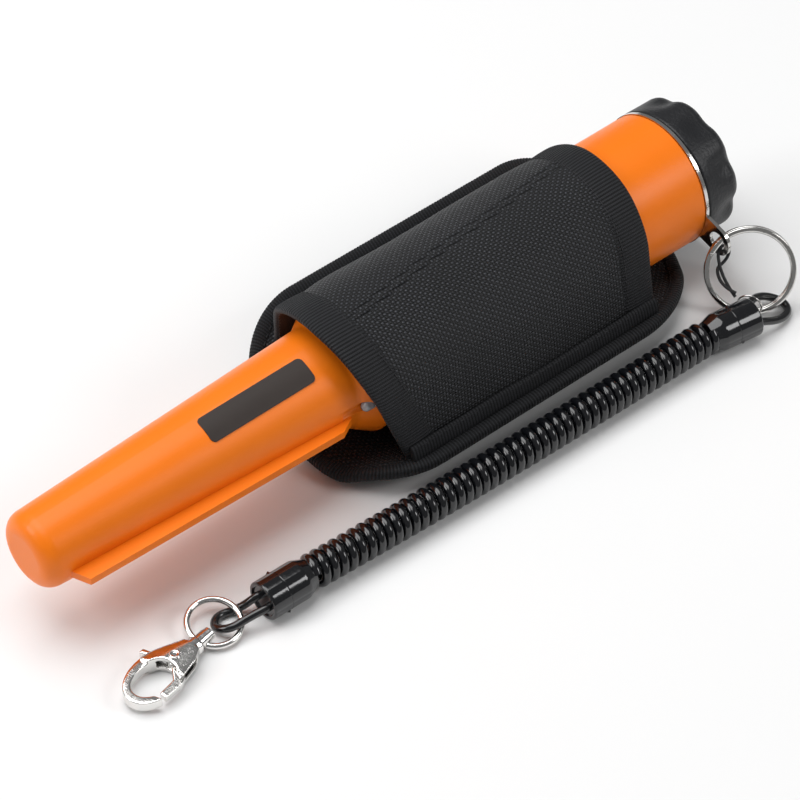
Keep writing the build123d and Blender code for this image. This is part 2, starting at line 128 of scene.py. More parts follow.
class Paint:
    """One material, built from a Principled shader and the nodes that feed it."""

    def __init__(self, name):
        self.material = bpy.data.materials.new(name)
        self.material.use_nodes = True
        self.tree = self.material.node_tree
        self.tree.nodes.clear()
        self.shader = self.tree.nodes.new("ShaderNodeBsdfPrincipled")
        end = self.tree.nodes.new("ShaderNodeOutputMaterial")
        self.tree.links.new(self.shader.outputs[0], end.inputs[0])

    def put(self, socket, value):
        if isinstance(value, Value):
            self.tree.links.new(value.socket, socket)
        elif socket.type == "RGBA":
            socket.default_value = (*value[:3], 1)
        else:
            socket.default_value = value

    def node(self, kind, settings=None, inputs=None, out=0):
        """Any node: its settings first, then the values or links of its sockets."""
        node = self.tree.nodes.new(kind)
        for key, value in (settings or {}).items():
            setattr(node, key, value)
        for key, value in (inputs or {}).items():
            self.put(node.inputs[key], value)
        return Value(self, node.outputs[out])

    def place(self, out="Object"):
        return self.node("ShaderNodeTexCoord", out=out)

    def axis(self, vector, k):
        return self.node("ShaderNodeSeparateXYZ", None, {0: vector}, k)

    def noise(self, scale, detail=3.0, rough=0.5, where=None, stretch=None):
        where = where or self.place()
        if stretch:
            where = self.node("ShaderNodeVectorMath", {"operation": "MULTIPLY"},
                              {0: where, 1: stretch})
        inputs = {"Vector": where, "Scale": scale, "Detail": detail, "Roughness": rough}
        return self.node("ShaderNodeTexNoise", None, inputs)

    def mix(self, share, first, second):
        inputs = {0: share, 6: first, 7: second}
        return self.node("ShaderNodeMix", {"data_type": "RGBA"}, inputs, 2)

    def surface(self, color, roughness, height=None, depth=0.0001, strength=1.0, **constants):
        """Sets the shader's sockets, and bumps it by height times depth in metres."""
        self.put(self.shader.inputs["Base Color"], color)
        self.put(self.shader.inputs["Roughness"], roughness)
        for name, value in constants.items():
            self.put(self.shader.inputs[name.replace("_", " ")], value)
        if height is not None:
            inputs = {"Strength": strength, "Distance": depth, "Height": height}
            self.put(self.shader.inputs["Normal"], self.node("ShaderNodeBump", None, inputs))
        return self.material


# ---------------------------------------------------------------- finishes
def moulding(name, color, rough, grain=2200, depth=0.00004, mottle=0.12, **constants):
    """Moulded plastic: an even pebbled grain, slow mottling, and roughness that varies a little."""
    p = Paint(name)
    pebbles = p.noise(grain, 2.0, 0.6)
    slow = p.noise(45, 3.0)
    light = [min(1.0, c * (1 + mottle) + 0.002) for c in color]
    dark = [c * (1 - mottle) for c in color]
    shade = p.mix(slow * 0.7 + pebbles * 0.3, dark, light)
    return p.surface(shade, rough + (slow - 0.5) * 0.14 + (pebbles - 0.5) * 0.1,
                     pebbles, depth, **constants)


def orange_finish():
    """Satin orange moulding: fine spark-eroded grain, faint dust and a few dull handling marks."""
    p = Paint("orange_housing")
    grain = p.noise(2600, 2.0, 0.65)
    slow = p.noise(30, 3.0)
    scuff = p.noise(160, 6.0, 0.7, stretch=(0.25, 1, 1)).span(0.60, 0.74)
    shade = p.mix(slow, (0.90, 0.185, 0.004), (0.96, 0.215, 0.007))
    shade = p.mix(scuff * 0.22, shade, (0.95, 0.30, 0.05))
    return p.surface(shade, 0.36 + (slow - 0.5) * 0.12 + scuff * 0.12 + (grain - 0.5) * 0.1,
                     grain + scuff * 0.25, 0.000035, Specular_IOR_Level=0.32)


def plated_finish(name, color, rough, wear=0.25):
    """Plated metal: bright, with a slight orange peel, smudges and duller low spots."""
    p = Paint(name)
    peel = p.noise(420, 2.0)
    smudge = p.noise(130, 4.0, 0.6).span(0.45, 0.75)
    pits = p.noise(1500, 3.0, 0.7)
    dark = [c * 0.72 for c in color]
    shade = p.mix(smudge * wear, color, dark)
    return p.surface(shade, rough + smudge * 0.12 + (pits - 0.5) * 0.06, peel + pits * 0.25,
                     0.00005, Metallic=1.0)


WARP, WEFT = 0.00098, 0.00082    # thread spacing of the holster's cloth, in metres


def weave_finish():
    """Coarse plain weave from the piece's own cloth coordinates, in metres.

    Each crossing shows one thread as a long crown, and neighbouring crossings swap threads.
    Crowns carry a painted highlight, dimmer on the threads across, and the gaps a painted shade;
    each thread has its own fine filaments.
    """
    p = Paint("holster_fabric")
    cloth = p.place("UV")
    drift = (p.noise(90, 2.0, where=cloth) - 0.5) * 0.35
    u = p.axis(cloth, 0) / WARP + drift
    v = p.axis(cloth, 1) / WEFT - drift
    rise_u = (u.fraction() * math.pi).sine()
    rise_v = (v.fraction() * math.pi).sine()
    swap = ((u.floor() + v.floor()) * 0.5).fraction() * 2
    along = rise_v ** 0.6 * (0.35 + rise_u * 0.65)
    across = rise_u ** 0.6 * (0.30 + rise_v * 0.55)
    thread = along * (1 - swap) + across * swap
    hairs = p.noise(5200, 2.0, 0.7, where=cloth, stretch=(0.5, 1, 1))
    slow = p.noise(60, 3.0, where=cloth)
    # painted highlight on the thread crowns (dimmer on the threads across), painted shade in the
    # gaps
    crown = thread.span(0.34, 0.98) * (1 - swap * 0.72)
    shade = p.mix(crown * (0.5 + slow * 0.7), (0.0018, 0.0019, 0.0024), (0.050, 0.053, 0.063))
    return p.surface(shade, 0.66 - crown * 0.26 + (hairs - 0.5) * 0.2, thread + hairs * 0.12,
                     0.00042, Sheen_Weight=0.03, Sheen_Roughness=0.45, Specular_IOR_Level=0.4)


def tape_finish(name, pitch, lift):
    """Ribbed tape: fine cross ribs and filaments, from the piece's own cloth coordinates."""
    p = Paint(name)
    cloth = p.place("UV")
    rib = ((p.axis(cloth, 0) / pitch).fraction() * math.pi).sine()
    knots = ((p.axis(cloth, 1) / 0.00055 + (p.axis(cloth, 0) / pitch).floor() * 0.5).fraction()
             * math.pi).sine()
    hairs = p.noise(4200, 2.0, 0.7, where=cloth)
    slow = p.noise(70, 3.0, where=cloth)
    # painted highlight on the rib tops, painted shade in the grooves between them
    top = (rib * (0.6 + knots * 0.4)).span(0.2, 1.0)
    light = [lift * c for c in (0.020, 0.021, 0.025)]
    shade = p.mix(top * (0.5 + slow * 0.6), (0.0022, 0.0023, 0.0028), light)
    return p.surface(shade, 0.72 - top * 0.12 + (hairs - 0.5) * 0.2,
                     rib * (0.65 + knots * 0.35) + hairs * 0.15, 0.00016,
                     Sheen_Weight=0.03, Sheen_Roughness=0.5, Specular_IOR_Level=0.3)


def gloss_finish(name, color, rough, ripple=0.00004):
    """Glossy black moulding or cord: mirror-like with faint ripples, dust and hairline scuffs."""
    p = Paint(name)
    ripples = p.noise(260, 2.0)
    dust = p.noise(2400, 2.0, 0.7).span(0.66, 0.78)
    scuff = p.noise(500, 4.0, 0.7).span(0.55, 0.8)
    shade = p.mix(dust * 0.35, color, [c * 3 + 0.02 for c in color])
    return p.surface(shade, rough + scuff * 0.14 + dust * 0.2, ripples, ripple, Coat_Weight=0.35,
                     Coat_Roughness=0.08)


def label_finish():
    """Blank plate: a dark brown-black film, slightly faded in places."""
    p = Paint("label")
    film = p.noise(900, 2.0)
    fade = p.noise(60, 4.0, 0.6)
    shade = p.mix(fade, (0.030, 0.023, 0.020), (0.046, 0.036, 0.032))
    return p.surface(shade, 0.52 + (fade - 0.5) * 0.2, film, 0.00001, Specular_IOR_Level=0.25)


def lens_finish():
    """Clear lamp lens with a faint frost."""
    p = Paint("lamp_lens")
    frost = p.noise(1600, 2.0)
    shade = p.mix(frost, (0.80, 0.84, 0.88), (0.95, 0.97, 1.0))
    return p.surface(shade, 0.06 + frost * 0.08, frost, 0.00002, Transmission_Weight=0.65,
                     IOR=1.49)


def winding_finish():
    """Enamelled copper wire, wound round X."""
    p = Paint("copper")
    turn = ((p.axis(p.place(), 0) / 0.00032).fraction() * math.pi).sine()
    tone = p.noise(300, 3.0)
    # painted highlight on each turn's crown and painted shade between turns, over a random tone
    shade = p.mix(tone * 0.5 + turn * 0.5, (0.30, 0.09, 0.03), (0.80, 0.36, 0.16))
    return p.surface(shade, 0.32 - turn * 0.1, turn, 0.00016, Metallic=0.9)


FINISH = {
    "orange_housing": orange_finish(),
    "label": label_finish(),
    "lamp_lens": lens_finish(),
    "polished_steel": plated_finish("polished_steel", (0.66, 0.65, 0.63), 0.13),
    "nickel_plate": plated_finish("nickel_plate", (0.80, 0.79, 0.77), 0.11, 0.35),
    "board": moulding("board", (0.02, 0.16, 0.06), 0.3, 900, 0.00002),
    "black_plastic": moulding("black_plastic", (0.022, 0.022, 0.024), 0.5),
    "chip": moulding("chip", (0.03, 0.03, 0.034), 0.45, 3000),
    "can": plated_finish("can", (0.62, 0.62, 0.64), 0.32),
    "foam": moulding("foam", (0.05, 0.05, 0.056), 0.9, 1500, 0.0002),
    "bobbin_plastic": moulding("bobbin_plastic", (0.78, 0.76, 0.70), 0.45),
    "ferrite": moulding("ferrite", (0.05, 0.05, 0.055), 0.6, 1800, 0.00006),
    "copper": winding_finish(),
    "battery_case": moulding("battery_case", (0.09, 0.10, 0.12), 0.3, 900, 0.00002,
                             Coat_Weight=0.5),
    "lead_jacket": moulding("lead_jacket", (0.45, 0.02, 0.02), 0.4),
    "seal_rubber": moulding("seal_rubber", (0.014, 0.014, 0.014), 0.6),
    "moulded_black": gloss_finish("moulded_black", (0.005, 0.0055, 0.007), 0.10),
    "coil_plastic": gloss_finish("coil_plastic", (0.004, 0.0045, 0.006), 0.12),
    "cord_black": gloss_finish("cord_black", (0.006, 0.0065, 0.0075), 0.2),
    "string_black": moulding("string_black", (0.012, 0.012, 0.014), 0.6, 3200, 0.00012),
    "brass": plated_finish("brass", (0.62, 0.44, 0.18), 0.25),
    "button_rubber": moulding("button_rubber", (0.02, 0.02, 0.021), 0.62, 2600),
    "holster_fabric": weave_finish(),
    "binding_tape": tape_finish("binding_tape", 0.00095, 1.0),
    "webbing": tape_finish("webbing", 0.0012, 1.2),
    "cap_plastic": moulding("cap_plastic", (0.010, 0.0105, 0.0125), 0.42, 1300, 0.00016, 0.3,
                            Specular_IOR_Level=0.4),
}


def dress(obj, slot):
    """Gives a piece its finish and names the record's slot that it stands for."""
    obj.data.materials.clear()
    obj.data.materials.append(FINISH[slot])
    return obj


# ---------------------------------------------------------------- surfaces
def piece(name, mesh, body, slot, replaced=()):
    """A finished piece that moves with a body and stands in for the CAD nodes it replaces."""
    obj = bpy.data.objects.new(name, mesh)
    bpy.context.scene.collection.objects.link(obj)
    dress(obj, slot)
    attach(obj, body)
    if replaced:
        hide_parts(*replaced)
    return obj


def joined(mesh):
    """Joins the points that meet, turns every face outward and shades the mesh smooth."""
    work = bmesh.new()
    work.from_mesh(mesh)
    bmesh.ops.remove_doubles(work, verts=work.verts, dist=2e-7)
    bmesh.ops.recalc_face_normals(work, faces=work.faces)
    work.to_mesh(mesh)
    work.free()
    mesh.polygons.foreach_set("use_smooth", np.ones(len(mesh.polygons), bool))


def skin(name, grid, uv=None, wrap=(False, True), ends=None, sharp=40):
    """A mesh through grid[i, j], in millimetres from the tip.

    wrap joins the last row or column to the first. ends closes the first and last rows of a tube:
    "fan" with one face each, "zip" with a strip between the row's two halves. uv gives cloth
    coordinates in millimetres and has one more row or column where the grid wraps.
    """
    rows, columns = grid.shape[:2]
    index = np.arange(rows * columns).reshape(rows, columns)
    corner = np.arange((rows + wrap[0]) * (columns + wrap[1])).reshape(rows + wrap[0], -1)
    if wrap[0]:
        index = np.concatenate([index, index[:1]], 0)
    if wrap[1]:
        index = np.concatenate([index, index[:, :1]], 1)

    def quads(a):
        return np.stack([a[:-1, :-1], a[1:, :-1], a[1:, 1:], a[:-1, 1:]], -1).reshape(-1, 4)

    faces = quads(index).tolist()
    spots = quads(corner).ravel()
    extra = []
    if ends == "fan":
        extra = [index[0, :columns][::-1].tolist(), index[-1, :columns].tolist()]
    if ends == "zip":
        half = columns // 2
        near, far = np.arange(half - 1), columns - 1 - np.arange(half - 1)
        for row, order in ((index[0], (0, 1, 2, 3)), (index[-1], (3, 2, 1, 0))):
            strip = np.stack([row[near], row[near + 1], row[far - 1], row[far]], -1)
            extra += strip[:, order].tolist()
    mesh = bpy.data.meshes.new(name)
    mesh.from_pydata(at(grid.reshape(-1, 3)).tolist(), [], faces + extra)
    if uv is not None:
        flat = np.asarray(uv, float).reshape(-1, 2)[spots] / 1000
        spare = np.zeros((len(mesh.loops) - len(flat), 2))
        mesh.uv_layers.new(name="UVMap").data.foreach_set("uv", np.vstack([flat, spare]).ravel())
    joined(mesh)
    mesh.set_sharp_from_angle(angle=math.radians(sharp))
    return mesh


def unit(v):
    return v / np.linalg.norm(v, axis=-1, keepdims=True)


def section(turn, *powers):
    """A rounded section's two coordinates, from -1 to 1: a lower power makes a squarer side."""
    return [np.sign(wave) * np.abs(wave) ** power
            for wave, power in zip((np.cos(turn), np.sin(turn)), powers)]


def lathe(axis_from, axis_dir, profile, turns, shape=None):
    """Points of a turned piece: profile (distance along the axis, radius) carried round it.

    shape(along, radius, angle) may change the radius, for flutes, nubs and grooves.
    """
    profile = np.asarray(profile, float)
    angle = np.linspace(0, TAU, turns, endpoint=False)[:, None]
    along, radius = profile[None, :, 0], profile[None, :, 1]
    if shape:
        radius = shape(along, radius, angle)
    axis_dir = unit(np.asarray(axis_dir, float))
    side = unit(np.cross(axis_dir, [0, 0, 1.0]))
    up = np.cross(side, axis_dir)
    return (np.asarray(axis_from, float) + along[..., None] * axis_dir
            + (radius * np.cos(angle))[..., None] * side + (radius * np.sin(angle))[..., None] * up)


def rounded(points, radius, steps=6):
    """A (distance, radius) profile with each inner corner cut by a small quadratic curve."""
    points = [np.asarray(p, float) for p in points]
    out = [points[0]]
    for before, corner, after in zip(points, points[1:], points[2:]):
        reach = min(radius, 0.45 * np.linalg.norm(before - corner),
                    0.45 * np.linalg.norm(after - corner))
        a = corner + unit(before - corner) * reach
        b = corner + unit(after - corner) * reach
        t = np.linspace(0, 1, steps)[:, None]
        out += list((1 - t) ** 2 * a + 2 * t * (1 - t) * corner + t ** 2 * b)
    return np.array(out + [points[-1]])


def stitches(name, spots, along, normal, body, slot="string_black", size=(1.9, 0.34, 0.3)):
    """A row of sewn stitches: one small long bead at each spot, lying along the seam."""
    theta = np.linspace(0, math.pi, 5)[:, None]
    phi = np.linspace(0, TAU, 6, endpoint=False)[None, :]
    bead = np.stack([np.cos(theta) + 0 * phi, np.sin(theta) * np.cos(phi),
                     np.sin(theta) * np.sin(phi)], -1) * np.array(size) / 2
    side = np.cross(normal, along)
    grid = (spots[:, None, None] + bead[None, ..., :1] * along[:, None, None]
            + bead[None, ..., 1:2] * side[:, None, None]
            + bead[None, ..., 2:] * normal[:, None, None])
    count, rings, sectors = grid.shape[:3]
    index = np.arange(count * rings * sectors).reshape(count, rings, sectors)
    index = np.concatenate([index, index[..., :1]], 2)
    faces = np.stack([index[:, :-1, :-1], index[:, 1:, :-1], index[:, 1:, 1:],
                      index[:, :-1, 1:]], -1).reshape(-1, 4)
    mesh = bpy.data.meshes.new(name)
    mesh.from_pydata(at(grid.reshape(-1, 3)).tolist(), [], faces.tolist())
    joined(mesh)
    return piece(name, mesh, body, slot)


# ---------------------------------------------------------------- cords
def spline(name, points, thickness=0.0):
    """A smooth curve whose control points are a cord's route; thickness is its diameter in mm."""
    curve = bpy.data.curves.new(name, "CURVE")
    curve.dimensions = "3D"
    line = curve.splines.new("NURBS")
    line.points.add(len(points) - 1)
    for point, place in zip(line.points, at(points)):
        point.co = (*place, 1)
    line.order_u = 3
    line.use_endpoint_u = True
    line.resolution_u = 16
    curve.bevel_depth = thickness / 2000
    curve.bevel_resolution = 6
    curve.use_fill_caps = thickness > 0
    return bpy.data.objects.new(name, curve)


def followed(points):
    """The points of that smooth curve in millimetres, with the distance along it."""
    guide = spline("guide", points)
    bpy.context.scene.collection.objects.link(guide)
    depsgraph = bpy.context.evaluated_depsgraph_get()
    mesh = bpy.data.meshes.new_from_object(guide.evaluated_get(depsgraph))
    line = np.array([v.co for v in mesh.vertices]) * 1000 + [TIP_X, 0, 0]
    bpy.data.objects.remove(guide)
    bpy.data.meshes.remove(mesh)
    step = np.linalg.norm(np.diff(line, axis=0), axis=1)
    return line, np.concatenate([[0], np.cumsum(step)])


NEAR_FACE = np.array([45.8, -35.65, 5.4])    # outer faces of the lanyard's two moulded ends
FAR_FACE = np.array([210.1, -41.3, 5.4])
COIL_ROUTE = [(61.0, -35.85, 5.4), (100, -37.6, 5.1), (148, -38.6, 5.1), (195.4, -39.2, 5.4)]
COIL_MIDDLE_R = 3.72
WIRE_R = 1.26
TURNS = 47
LOOP_WIDTH, STRING_WIDTH = 2.2, 0.9
LEG_OFF, LEG_DEPTH = 2.4, 3.6    # a loop's legs: off the moulded end's axis, and inside it


def coil_cord():
    """The curly cord: a helix round the route, and a round section round the helix."""
    line, reach = followed(COIL_ROUTE)
    share = np.linspace(0, 1, TURNS * 26 + 1)
    s = share * reach[-1]
    middle = np.stack([np.interp(s, reach, line[:, k]) for k in range(3)], -1)
    ahead = unit(np.gradient(middle, axis=0))
    side = unit(np.cross(ahead, [0, 0, 1.0]))
    up = np.cross(side, ahead)
    angle = (TAU * TURNS * (share + 0.0016 * np.sin(5.3 * TAU * share)) + 0.6)[:, None]
    out = np.cos(angle) * side + np.sin(angle) * up
    helix = middle + COIL_MIDDLE_R * out
    along = unit(np.gradient(helix, axis=0))
    binormal = np.cross(along, out)
    turn = np.linspace(0, TAU, 12, endpoint=False)[None, :, None]
    grid = helix[:, None] + WIRE_R * (np.cos(turn) * out[:, None]
                                      + np.sin(turn) * binormal[:, None])
    obj = piece("coil_cord", skin("coil_cord", grid, ends="fan"), "probe", "coil_plastic",
                ["lanyard_coil"])
    return obj


def plain_cord(name, node, route, thickness, slot, **facts):
    """A cord of plain round section on its route, which replaces its CAD tube."""
    obj = spline(name, route, thickness)
    bpy.context.scene.collection.objects.link(obj)
    dress(obj, slot)
    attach(obj, "probe")
    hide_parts(node)
    _, reach = followed(route)
    return obj


coil_cord()
near_in = unit(np.array(COIL_ROUTE[0]) - NEAR_FACE)
far_in = unit(np.array(COIL_ROUTE[-1]) - FAR_FACE)
near_side = np.array([-near_in[1], near_in[0], 0]) * LEG_OFF
far_side = np.array([-far_in[1], far_in[0], 0]) * LEG_OFF
plain_cord("near_loop_cord", "near_loop",
           [NEAR_FACE + near_side + near_in * LEG_DEPTH, NEAR_FACE + near_side, (42.0, -30.6, 1.15),
            (36.4, -28.7, 1.12), (32.9, -31.8, 1.6), (34.8, -36.2, 3.5), (40.2, -36.9, 4.6),
            NEAR_FACE - near_side, NEAR_FACE - near_side + near_in * LEG_DEPTH],
           LOOP_WIDTH, "cord_black", far_end="object", stiffness="medium", lay="loose")
plain_cord("far_loop_cord", "far_loop",
           [FAR_FACE - far_side + far_in * LEG_DEPTH, FAR_FACE - far_side, (214.6, -36.2, 5.2),
            (219.6, -35.9, 3.4), (223.6, -39.6, 1.6), (222.0, -43.8, 1.3), (216.5, -45.2, 2.6),
            FAR_FACE + far_side, FAR_FACE + far_side + far_in * LEG_DEPTH],
           LOOP_WIDTH, "cord_black", far_end="object", stiffness="medium", lay="loose")
plain_cord("tie_string", "strap_string",
           [(210.3, -34.4, 7.4), (210.0, -29.6, 10.6), (211.2, -25.25, 17.3), (214.7, -25.05, 17.7),
            (215.9, -26.0, 15.0), (213.4, -26.6, 12.9), (210.2, -26.4, 12.2), (209.0, -30.6, 9.2),
            (210.6, -34.2, 8.5)],
           STRING_WIDTH, "string_black", far_end="object", stiffness="limp", lay="hanging")


# ---------------------------------------------------------------- the lanyard's moulded ends
END_R, END_L = 5.4, 15.0


def moulded_end(name, node, face, inward, nub_angles, rib_at):
    """A turned cap: recessed outer face, hairline seam, rounded shoulder, and two gate nubs."""
    outline = rounded([(0.5, 0), (0.5, 4.0), (0.0, 4.3), (0.0, END_R), (rib_at - 0.12, END_R),
                       (rib_at, END_R - 0.12), (rib_at + 0.12, END_R), (END_L - 3.4, END_R),
                       (END_L - 0.6, 4.3), (END_L, 4.1), (END_L, 0)], 0.5, 5)
    step = np.linalg.norm(np.diff(outline, axis=0), axis=1)
    reach = np.concatenate([[0], np.cumsum(step)])
    spread = np.unique(np.concatenate([reach, np.linspace(0, reach[-1], 60)]))
    outline = np.stack([np.interp(spread, reach, outline[:, k]) for k in range(2)], -1)

    def shape(along, radius, angle):
        flats = 0.10 * np.exp(-((np.abs(np.sin(angle)) / 0.06) ** 2)) * (radius > END_R - 0.3)
        grown = radius - flats
        for nub in nub_angles:
            turn = (angle - nub + math.pi) % TAU - math.pi
            spot = ((along - rib_at + 0.6) / 0.4) ** 2 + (turn * END_R / 0.4) ** 2
            grown = grown + 0.55 * np.exp(-spot ** 2) * (radius > 5.0)
        return grown

    grid = lathe(face, inward, outline, 96, shape)
    mesh = skin(name, grid, wrap=(True, False), sharp=50)
    return piece(name, mesh, "probe", "moulded_black", [node])


moulded_end("near_cord_end", "end_cap_near", NEAR_FACE, near_in, (2.4, 5.6), 5.6)
moulded_end("far_cord_end", "end_cap_far", FAR_FACE, far_in, (1.0, 3.5), 7.2)


# ---------------------------------------------------------------- split ring
RING_CENTRE = np.array([216.9, -32.8, 11.95])
RING_R = 11.7
RING_WIDE, RING_THICK = 0.78, 0.64    # half the flat wire's section


def ring_wire():
    """A flat wire wound twice: the second turn steps over to lie beside the first."""
    lean, heading = math.radians(64), math.radians(49.5)
    level = np.array([math.sin(heading), -math.cos(heading), 0])
    rise = np.array([math.cos(lean) * math.cos(heading), math.cos(lean) * math.sin(heading),
                     math.sin(lean)])
    normal = np.cross(level, rise)
    start = math.radians(168)
    theta = np.linspace(0, 2 * TAU * 0.985, 521)
    step = np.clip((theta - (TAU - 0.55)) / 0.9, 0, 1)
    shift = -0.66 + 1.32 * step ** 2 * (3 - 2 * step)
    angle = (start + theta)[:, None]
    out = np.cos(angle) * level + np.sin(angle) * rise
    middle = RING_CENTRE + RING_R * out + shift[:, None] * normal
    turn = np.linspace(0, TAU, 20, endpoint=False)
    wide, thick = section(turn, 0.55, 0.55)
    wide, thick = wide * RING_WIDE, thick * RING_THICK
    close = np.clip(np.minimum(theta, theta[-1] - theta) / 0.05, 0, 1)[:, None] ** 0.5
    wide, thick = wide[None] * (0.55 + 0.45 * close), thick[None] * (0.55 + 0.45 * close)
    grid = middle[:, None] + wide[..., None] * out[:, None] + thick[..., None] * normal
    return piece("ring_wire", skin("ring_wire", grid, ends="fan"), "split_ring", "polished_steel",
                 ["split_ring"])


ring_wire()


# ---------------------------------------------------------------- battery cap
CAP_X, CAP_END = 213.8, 225.5
CAP_R, BORE_R = 19.5, 17.36
FLUTES = 9


def cap_moulding():
    """The screw cap: a cup turned about the axis, whose rim is scooped by shallow flutes."""
    bore = rounded([(CAP_END - 3.2, 0), (CAP_END - 3.2, BORE_R), (CAP_X, BORE_R),
                    (CAP_X, CAP_R - 0.4)], 0.4, 4)
    turn = np.linspace(0, math.pi / 2, 22)
    shoulder = np.stack([CAP_END + 3.1 * (np.sin(turn) - 1), CAP_R + 3.1 * (np.cos(turn) - 1)], -1)
    side = np.stack([np.linspace(CAP_X + 0.3, CAP_END - 3.3, 24), np.full(24, CAP_R)], -1)
    face = np.stack([CAP_END - 0.5 * np.linspace(0, 1, 14) ** 2, np.linspace(16.2, 0, 14)], -1)
    outline = np.vstack([bore, side, shoulder, face])
    outside = np.arange(len(outline)) >= len(bore)

    def shape(along, radius, angle):
        deep = np.clip((along - CAP_X - 1.2) / 7.5, 0, 1)
        deep = deep ** 2 * (3 - 2 * deep)
        scoop = (0.5 + 0.5 * np.cos(FLUTES * angle + 0.9)) ** 1.6
        rim = np.clip((radius - 12.0) / 5.0, 0, 1)
        return radius - 1.15 * deep * scoop * rim * outside

    grid = lathe((0, 0, AXIS_Z), (1, 0, 0), outline, 216, shape)
    return piece("cap_moulding", skin("cap_moulding", grid, wrap=(True, False), sharp=55),
                 "battery_cap", "cap_plastic", ["battery_cap"])


cap_moulding()


# ---------------------------------------------------------------- softened castings
def flesh(mesh):
    """Domes the clasp's two cheeks: full height on the middle line, falling off to each side.

    Only metal outside the lever's slot moves, so the slot keeps its width.
    """
    points = np.array([v.co for v in mesh.vertices]) * 1000 + [TIP_X, 0, 0]
    lean = math.radians(10)
    along = -points[:, 0] * math.cos(lean) - points[:, 1] * math.sin(lean)
    across = -points[:, 0] * math.sin(lean) + points[:, 1] * math.cos(lean)
    band = np.floor((along - along.min()) / 0.6).astype(int)
    low, high = np.full(band.max() + 1, 1e3), np.full(band.max() + 1, -1e3)
    np.minimum.at(low, band, across)
    np.maximum.at(high, band, across)
    grown = np.convolve(np.pad(high - low, 3, "edge"), np.full(7, 1 / 7), "valid") / 2
    middle = np.convolve(np.pad(high + low, 3, "edge"), np.full(7, 1 / 7), "valid") / 2
    off = np.clip(np.abs(across - middle[band]) / grown[band], 0, 1)
    centre = (points[:, 2].max() + points[:, 2].min()) / 2
    height = points[:, 2] - centre
    core = 0.56 * np.abs(height).max()
    spare = np.clip(np.abs(height) - core, 0, None)
    points[:, 2] = centre + np.sign(height) * (np.minimum(np.abs(height), core)
                                               + spare * np.sqrt(1 - 0.92 * off ** 2))
    mesh.vertices.foreach_set("co", at(points).ravel())


def casting(name, node, body, slot, voxel=0.15, rounds=26):
    """A cast and polished copy of a CAD node: the same shape, with its hard edges rubbed round."""
    mesh = NODES[node].data.copy()
    work = bmesh.new()
    work.from_mesh(mesh)
    bmesh.ops.remove_doubles(work, verts=work.verts, dist=1e-6)
    work.to_mesh(mesh)
    work.free()
    draft = bpy.data.objects.new("draft", mesh)
    bpy.context.scene.collection.objects.link(draft)
    remesh = draft.modifiers.new("even", "REMESH")
    remesh.mode = "VOXEL"
    remesh.voxel_size = voxel / 1000
    rub = draft.modifiers.new("rub", "SMOOTH")
    rub.factor = 0.5
    rub.iterations = rounds
    depsgraph = bpy.context.evaluated_depsgraph_get()
    done = bpy.data.meshes.new_from_object(draft.evaluated_get(depsgraph))
    bpy.data.objects.remove(draft)
    if node == "clasp_body":
        flesh(done)
    done.name = name
    done.polygons.foreach_set("use_smooth", np.ones(len(done.polygons), bool))
    return piece(name, done, body, slot, [node])


casting("clasp_casting", "clasp_body", "clasp", "nickel_plate")
casting("thumb_lever", "clasp_lever", "clasp_lever", "nickel_plate")


def rivet_rim():
    """The upset head of the lever's rivet: a low rolled rim, turned round a dished middle."""
    points = np.array([v.co for v in NODES["clasp_rivet"].data.vertices]) * 1000 + [TIP_X, 0, 0]
    middle = (points.max(0) + points.min(0)) / 2
    middle[2] = points[:, 2].max()
    outline = rounded([(-0.5, 0), (-0.5, 1.5), (0.05, 1.5), (0.28, 1.15), (0.05, 0.7), (-0.15, 0)],
                      0.2, 5)
    grid = lathe(middle, (0.001, 0, 1), outline, 48)
    return piece("rivet_rim", skin("rivet_rim", grid, wrap=(True, False)), "clasp", "nickel_plate")


rivet_rim()


# ---------------------------------------------------------------- holster: shared shapes
PAD_X, PAD_Y = (87.0, 214.5), (-29.9, 40.2)
PAD_T, PAD_UNDER = 3.4, 1.6
EDGING = 4.6
SLEEVE_OUT, SLEEVE_T = 21.4, 1.75
REAR_MOUTH = 189.0
EDGE_W = 10.0
EDGE_OVER = 0.7         # how far the mouths' tape folds past the cloth's edge
RIB = 0.95
CREASE_HALF = 1.1       # each row of the crease's stitches is this far from its middle
SEAM_X, SEAM_HALF = (103.6, 189.2), 2.35
BELT_X, BELT_HALF = (112, 187), 12.5
PAD_MID = PAD_UNDER + PAD_T / 2


def hermite(y, knots):
    """A smooth curve through (y, height, slope) knots, each pair joined by one cubic."""
    ys, hs, ms = (np.array(k, float) for k in zip(*knots))
    k = np.clip(np.searchsorted(ys, y) - 1, 0, len(ys) - 2)
    gap = ys[k + 1] - ys[k]
    t = np.clip((y - ys[k]) / gap, 0, 1)
    return ((2 * t ** 3 - 3 * t ** 2 + 1) * hs[k] + (t ** 3 - 2 * t ** 2 + t) * gap * ms[k]
            + (3 * t ** 2 - 2 * t ** 3) * hs[k + 1] + (t ** 3 - t ** 2) * gap * ms[k + 1])


def wing(y):
    """How far the pad's wings rise above its flat middle, at a distance y across it."""
    return hermite(y, [(-30.0, 4.4, -0.05), (-21.6, 3.4, -0.3), (-12.5, 0, 0), (12.5, 0, 0),
                       (27.0, 4.0, 0.45), (40.3, 11.2, 0.62)])


